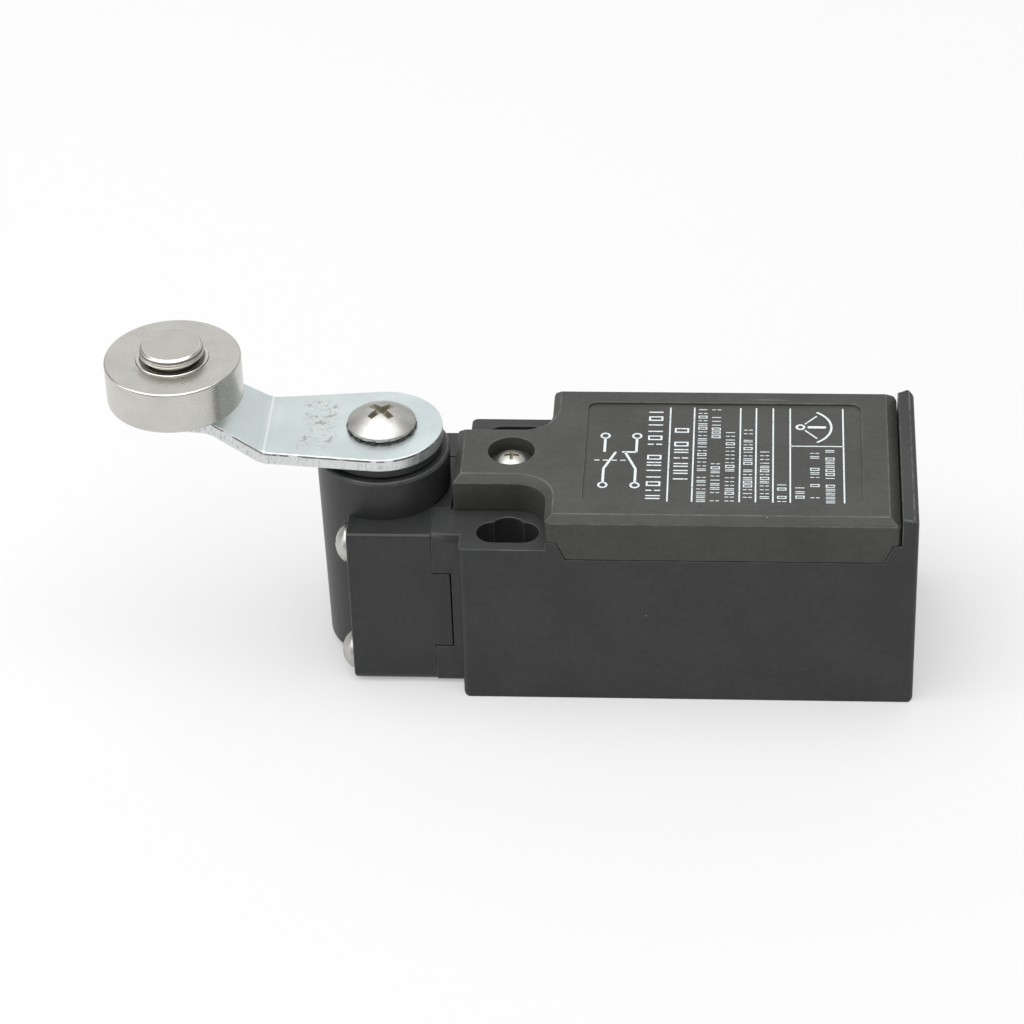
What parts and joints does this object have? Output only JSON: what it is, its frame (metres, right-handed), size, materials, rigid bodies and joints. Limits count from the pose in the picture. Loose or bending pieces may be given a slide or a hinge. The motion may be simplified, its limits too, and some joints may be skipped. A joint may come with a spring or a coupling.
{
  "type": "roller lever limit switch",
  "caption": "Compact black plastic limit switch: slotted mounting ears, screwed front cover, square turning head, bent steel lever with a steel roller and a threaded cable entry.",
  "frame": {"origin": "on the mounting face of the enclosure, midway between the two mounting slots", "axes": "+Z out through the front cover, +X towards the cable entry; the head, lever and roller are at -X"},
  "size_m": [0.1063, 0.03, 0.0461],
  "materials": {
    "housing_plastic": "glass-filled black moulding, fine matt grain",
    "cover_plastic": "glass-filled black moulding, fine matt grain",
    "head_plastic": "black moulding, satin",
    "disc_plastic": "black moulding, satin",
    "case_plastic": "cream moulding",
    "lid_plastic": "dark grey moulding",
    "rubber": "nitrile rubber",
    "zinc_plate": "blue-white zinc plate on steel strip",
    "nickel_screw": "bright nickel plate",
    "roller_nickel": "satin nickel plate",
    "pin_nickel": "turned and nickel plated steel",
    "dark_steel": "dark spring steel",
    "plain_steel": "turned steel",
    "spring_steel": "spring wire",
    "brass": "turned and pressed brass",
    "bronze": "sintered bronze",
    "contact_copper": "copper strip with silver tips"
  },
  "bodies": {
    "housing": {"base_housing": "housing_plastic", "front_cover": "cover_plastic", "cover_gasket": "rubber", "cover_screw": "nickel_screw", "cover_screw_insert": "brass", "head_block": "head_plastic", "head_gasket": "rubber", "head_screws": "nickel_screw", "shaft_bush": "bronze", "shaft_seal": "rubber", "plunger_guide": "brass", "spring_seat": "plain_steel", "contact_case": "case_plastic", "contact_lid": "lid_plastic", "nc_terminal_front": "brass", "nc_terminal_back": "brass", "no_terminal_front": "brass", "no_terminal_back": "brass", "terminal_clamps": "plain_steel", "terminal_screws": "nickel_screw", "case_screws": "nickel_screw"},
    "lever": {"lever_shaft": "plain_steel", "shaft_circlip": "spring_steel", "cam": "plain_steel", "drive_disc": "disc_plastic", "lever_arm": "zinc_plate", "lever_lock_washer": "dark_steel", "lever_screw": "nickel_screw", "roller_pin": "pin_nickel", "roller_washers": "pin_nickel"},
    "roller": {"roller": "roller_nickel", "roller_bush": "pin_nickel"},
    "plunger": {"head_plunger": "plain_steel", "return_spring": "spring_steel"},
    "contact_carrier": {"contact_carrier": "case_plastic", "nc_bridge": "contact_copper", "no_bridge": "contact_copper", "contact_springs": "spring_steel"}
  },
  "joints": [
    {"name": "lever_swing", "type": "hinge", "parent": "housing", "child": "lever", "pos_m": [-0.017, 0, 0], "axis": [0, 0, 1], "range_deg": [-75, 75], "stiffness_Nm_per_rad": 0.1},
    {"name": "roller_spin", "type": "hinge", "parent": "lever", "child": "roller", "pos_m": [-0.044, 0, 0], "axis": [0, 0, 1], "continuous": true},
    {"name": "plunger_slide", "type": "slide", "parent": "housing", "child": "plunger", "axis": [1, 0, 0], "range_m": [0, 0.0022], "stiffness_N_per_m": 1500, "springref_m": -0.002, "deforming": ["return_spring"]},
    {"name": "carrier_slide", "type": "slide", "parent": "housing", "child": "contact_carrier", "axis": [1, 0, 0], "range_m": [0, 0.0022]}
  ],
  "couplings": [
    {"joint": "carrier_slide", "follows": "plunger_slide", "ratio": 1}
  ]
}
